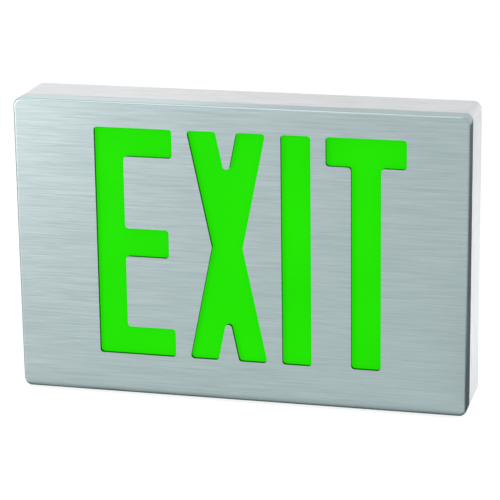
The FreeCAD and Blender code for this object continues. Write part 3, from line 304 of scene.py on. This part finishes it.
# %% Moulded plastic
MOULD_GRAIN = 0.35 * MM
MOULD_DEPTH = 0.05 * MM
TONE_WIDTH = 12 * MM


def moulded_plastic(name, pale, dark, roughness, texture=0.15):
    """Plastic with a fine mould grain and a slow change of tone."""
    material, shader, place = new_material(name)
    fine = add_node(material, "ShaderNodeTexNoise",
                    {"Vector": place, "Scale": 1 / MOULD_GRAIN, "Detail": 2.0}).outputs["Fac"]
    slow = add_node(material, "ShaderNodeTexNoise",
                    {"Vector": place, "Scale": 1 / TONE_WIDTH, "Detail": 2.0}).outputs["Fac"]
    tone = add_node(material, "ShaderNodeMix",
                    {"Factor": slow, "A": linear(dark), "B": linear(pale)},
                    data_type="RGBA")
    join(material, tone.outputs["Result"], shader, "Base Color")
    bump = add_node(material, "ShaderNodeBump",
                    {"Height": fine, "Strength": texture, "Distance": MOULD_DEPTH})
    join(material, bump.outputs["Normal"], shader, "Normal")
    shader.inputs["Roughness"].default_value = roughness
    return material


# %% [markdown]
# ## Circuit board
# A board is woven glass in epoxy under a thin coloured mask. The weave shows through as a
# faint square pattern about a millimetre apart, which two crossed bands of waves give. A
# wave texture at scale 1 turns 20 radians in a metre, so the scale follows from the pitch.

# %% Solder mask over woven glass
WEAVE_PITCH = 1.2 * MM
WAVE_RADIANS = 20


def solder_mask(name, pale, dark):
    """Glossy mask over woven glass."""
    material, shader, place = new_material(name)
    wave_scale = 2 * math.pi / WEAVE_PITCH / WAVE_RADIANS
    warp = add_node(material, "ShaderNodeTexWave", {"Vector": place, "Scale": wave_scale},
                    bands_direction="X").outputs["Fac"]
    weft = add_node(material, "ShaderNodeTexWave", {"Vector": place, "Scale": wave_scale},
                    bands_direction="Z").outputs["Fac"]
    weave = add_node(material, "ShaderNodeMath", {0: warp, 1: weft},
                     operation="MULTIPLY").outputs["Value"]
    tone = add_node(material, "ShaderNodeMix",
                    {"Factor": weave, "A": linear(dark), "B": linear(pale)},
                    data_type="RGBA")
    join(material, tone.outputs["Result"], shader, "Base Color")
    shader.inputs["Roughness"].default_value = 0.38
    return material


# %% [markdown]
# ## One finish for each slot
# The record names a material slot for every node. Each slot gets one finish here, and the
# next cell puts it on the nodes that use it, so no piece is left with a plain colour.

# %% The finishes
FINISHES = {
    # The face's second colour, #3A3F38, is painted shade on the walls of the cut-outs.
    "brushed_aluminium": paint_shade_on_cut_walls(
        brushed_aluminium("brushed_aluminium", "#ACBBBD", "#97A8AA", 0.34, 0.44, 0.45),
        "#3A3F38"),
    "housing_paint": brushed_aluminium("pale_silver_lacquer", "#F2F3F5", "#C8CDCF",
                                       0.42, 0.5, 0.2, metallic=0.0),
    "back_plate_paint": powder_coat("back_plate_powder_coat", "#DDE1E2", "#D4D9DA", 0.45),
    "white_sheet": powder_coat("tray_matt_white", "#F1F1EE", "#EAEAE6", 0.7),
    "green_panel": lit_acrylic("green_lit_acrylic", "#0C7A00", "#0F8000", 2.9),
    "opal_acrylic": lit_acrylic("opal_acrylic", "#EEF1EE", "#F4F6F2", 0.25),
    "zinc_steel": plain_metal("bright_zinc_plate", "#D3D6D8", "#B9BDC0", 0.25, 0.42),
    "spring_steel": plain_metal("spring_steel", "#B4B6BA", "#96999E", 0.22, 0.34),
    "earth_green": plain_metal("green_zinc_plate", "#2F9A52", "#1F7A3E", 0.3, 0.45),
    "black_anodised": plain_metal("black_anodised_aluminium", "#26272A", "#1B1C1F", 0.4, 0.5),
    "ferrite": moulded_plastic("sintered_ferrite", "#3A3B3E", "#2C2D30", 0.6, 0.3),
    "circuit_board": solder_mask("green_solder_mask", "#1E6B3E", "#14532E"),
    "lamp_strip": solder_mask("white_solder_mask", "#F2F2EE", "#E9E9E4"),
    "lamp_package": lit_acrylic("lamp_phosphor", "#F1ECC9", "#F6F0CE", 0.6),
    "winding_tape": moulded_plastic("winding_tape", "#D8B83A", "#C9A72C", 0.35, 0.05),
    "capacitor_sleeve": moulded_plastic("capacitor_sleeve", "#1A2438", "#121A2A", 0.3, 0.05),
    "relay_case": moulded_plastic("relay_case", "#22508F", "#1B437B", 0.4),
    "terminal_plastic": moulded_plastic("terminal_polyamide", "#2A7F47", "#216C3B", 0.45),
    "header_nylon": moulded_plastic("natural_nylon", "#E9E3CF", "#DFD8C2", 0.45),
    "chip_epoxy": moulded_plastic("moulded_epoxy", "#1C1C1D", "#141415", 0.55, 0.3),
    "battery_sleeve": moulded_plastic("battery_shrink_sleeve", "#2467A8", "#1C5A97", 0.28, 0.04),
    "black_plastic": moulded_plastic("black_nylon", "#1B1B1C", "#121213", 0.5),
    "button_plastic": moulded_plastic("red_abs", "#C4241D", "#B11D17", 0.42),
    "indicator_red": moulded_plastic("red_acrylic", "#C01A18", "#A81412", 0.12, 0.02),
}
print("finishes made:", len(FINISHES))

# %% Put each finish on its nodes
for subpart in frame["record"]["subparts"]:
    node = frame["nodes"][subpart["node"]]
    node.data.materials.clear()
    node.data.materials.append(FINISHES[subpart["material_slot"]])

# %% [markdown]
# ## The camera
# The sign is seen a little from the right and from above. A long lens keeps its edges
# nearly parallel. The camera is placed from the sign's own box: it looks at a point on the
# face, from a distance, along an azimuth and an elevation. Lens and sensor are in
# millimetres.

# %% Camera
LENS = 169.18
SENSOR = 36.0
AZIMUTH = math.radians(14.327)
ELEVATION = math.radians(16.299)
ROLL = math.radians(-0.772)
DISTANCE = 1.50219
AIM_RIGHT = 7.805 * MM
AIM_UP = 4.887 * MM

face_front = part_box("face_plate")[0][1]
aim = Vector((AIM_RIGHT, face_front, AIM_UP))
toward_camera = Vector((math.sin(AZIMUTH) * math.cos(ELEVATION),
                        -math.cos(AZIMUTH) * math.cos(ELEVATION), math.sin(ELEVATION)))
camera = bpy.data.objects.new("camera", bpy.data.cameras.new("camera"))
camera.data.lens = LENS
camera.data.sensor_width = SENSOR
camera.location = aim + toward_camera * DISTANCE
camera.rotation_mode = "QUATERNION"
camera.rotation_quaternion = ((-toward_camera).to_track_quat("-Z", "Y")
                              @ Euler((0, 0, ROLL)).to_quaternion())
bpy.context.collection.objects.link(camera)
bpy.context.scene.camera = camera
bpy.context.scene.view_settings.view_transform = "Standard"
print("camera at:", [round(v, 3) for v in camera.location])

# %% [markdown]
# ## Floor, world and lamps
# The sign stands on a plain pale floor in a bright, even studio. The world is white to the
# camera and in reflections, and its light on the sign is plain, so a colour renders about
# as it is written. The floor shows as white too, with a faint soft shadow: it glows for
# the camera and for reflections and takes the rest from real light.

# %% Floor
FLOOR_HALF = 3.0
FLOOR_GLOW = 0.80
FLOOR_SHADED = 0.32
WHITE = (1, 1, 1, 1)


def seen_by_eye(owner):
    """1 for rays from the camera, from mirrors and through glass, and 0 for light."""
    path = add_node(owner, "ShaderNodeLightPath")
    total = path.outputs["Is Camera Ray"]
    for name in ("Is Glossy Ray", "Is Transmission Ray"):
        total = add_node(owner, "ShaderNodeMath", {0: total, 1: path.outputs[name]},
                         operation="MAXIMUM").outputs["Value"]
    return total


def pale_floor():
    """White to the eye with a faint shadow, and plain pale paint to the light."""
    material = bpy.data.materials.new("pale_floor")
    material.use_nodes = True
    material.node_tree.nodes.clear()
    glow = add_node(material, "ShaderNodeEmission", {"Color": WHITE, "Strength": FLOOR_GLOW})
    shaded = add_node(material, "ShaderNodeBsdfDiffuse", {"Color": [FLOOR_SHADED] * 3 + [1]})
    paint = add_node(material, "ShaderNodeBsdfDiffuse", {"Color": linear("#F0F0F0")})
    both = add_node(material, "ShaderNodeAddShader", {0: glow.outputs[0], 1: shaded.outputs[0]})
    mix = add_node(material, "ShaderNodeMixShader",
                   {"Fac": seen_by_eye(material), 1: paint.outputs[0], 2: both.outputs[0]})
    add_node(material, "ShaderNodeOutputMaterial", {"Surface": mix.outputs[0]})
    return material


def flat_card(name, left, right, front, back, level, material):
    """A level stage piece between two limits along X and two along Y."""
    sheet = bmesh.new()
    bmesh.ops.create_grid(sheet, x_segments=1, y_segments=1, size=1.0)
    bmesh.ops.scale(sheet, vec=((right - left) / 2, (back - front) / 2, 1), verts=sheet.verts)
    bmesh.ops.translate(sheet, vec=((left + right) / 2, (front + back) / 2, level),
                        verts=sheet.verts)
    mesh = bpy.data.meshes.new(name)
    sheet.to_mesh(mesh)
    sheet.free()
    card = bpy.data.objects.new(name, mesh)
    card.data.materials.append(material)
    bpy.context.collection.objects.link(card)
    return card


ground = cad_box[0][2]
flat_card("floor", -FLOOR_HALF, FLOOR_HALF, -FLOOR_HALF, FLOOR_HALF, ground, pale_floor())
print("floor level in metres:", round(ground, 4))

# %% World
WORLD_LIGHT = 0.62
WORLD_SEEN = 1.0

world = bpy.data.worlds.new("studio")
world.use_nodes = True
world.node_tree.nodes.clear()
bpy.context.scene.world = world
soft = add_node(world, "ShaderNodeBackground", {"Color": WHITE, "Strength": WORLD_LIGHT})
white = add_node(world, "ShaderNodeBackground", {"Color": WHITE, "Strength": WORLD_SEEN})
sky = add_node(world, "ShaderNodeMixShader",
               {"Fac": seen_by_eye(world), 1: soft.outputs[0], 2: white.outputs[0]})
add_node(world, "ShaderNodeOutputWorld", {"Surface": sky.outputs[0]})
print("world light and world seen:", WORLD_LIGHT, WORLD_SEEN)

# %% [markdown]
# ## Dark cards
# Metal only looks like metal when it has something to reflect. Three dark cards lie just
# over the floor and only reflections see them. The one behind on the right draws the dark
# line down the right end of the face. The one behind on the left and the one under the
# sign draw the thin lines round its other rounded edges.

# %% Dark cards
CARD_LIFT = 2 * MM
CARD_REACH = 1.15
CARD_ROUGHNESS = 0.9

left_end, right_end = cad_box[0][0], cad_box[1][0]
# Each card: its name, its tone, its limits along X and its limits along Y, in metres.
for name, colour, left, right, front, back in (
        ("right_card", "#5C6060", right_end + MM, right_end + CARD_REACH, -0.2, CARD_REACH),
        ("left_card", "#5C6060", left_end - 0.75, left_end - MM, -0.03, 0.5),
        ("under_card", "#A0A4A4", left_end, right_end, face_front - 5 * MM, 0.05)):
    card_tone = bpy.data.materials.new(name)
    card_tone.use_nodes = True
    card_shader = card_tone.node_tree.nodes["Principled BSDF"]
    card_shader.inputs["Base Color"].default_value = linear(colour)
    card_shader.inputs["Roughness"].default_value = CARD_ROUGHNESS
    card_shader.inputs["Specular IOR Level"].default_value = 0.0
    card = flat_card(name, left, right, front, back, ground + CARD_LIFT, card_tone)
    card.visible_camera = False
    card.visible_diffuse = False
    card.visible_shadow = False
    card.visible_transmission = False
print("dark cards: 3")


# %% [markdown]
# ## Lamps
# A soft lamp at the front left lights the face, which then fades towards the right. One
# overhead draws the bright line along the top edge, and one behind lights the narrow top
# of the face's rim. One at the right is aimed down at the floor, so the floor lights the
# end of the housing, and it is left out of reflections, which keeps the end of the face
# dark. Places and sizes are in metres and powers in watts.

# %% Lamps
def soft_lamp(name, place, size, power, aim_at=(0, 0, 0), colour="#FFFFFF",
              in_reflections=True):
    """A square area lamp that faces a point."""
    data = bpy.data.lights.new(name, "AREA")
    data.shape = "SQUARE"
    data.size = size
    data.energy = power
    data.color = linear(colour)[:3]
    lamp = bpy.data.objects.new(name, data)
    lamp.location = place
    lamp.visible_glossy = in_reflections
    lamp.rotation_mode = "QUATERNION"
    lamp.rotation_quaternion = (Vector(aim_at) - Vector(place)).to_track_quat("-Z", "Y")
    bpy.context.collection.objects.link(lamp)
    return lamp


soft_lamp("top_lamp", (-0.4, -0.35, 1.2), 0.9, 4.0)
soft_lamp("left_lamp", (-0.78, -0.88, 0.08), 0.3, 4.6, colour="#FFF3F1")
soft_lamp("back_lamp", (-0.55, 1.2, 0.45), 0.4, 0.5)
soft_lamp("right_lamp", (0.4, 0.08, 0.02), 0.1, 0.5, aim_at=(0.25, 0.0, ground),
          in_reflections=False)
print("lamps: 4")
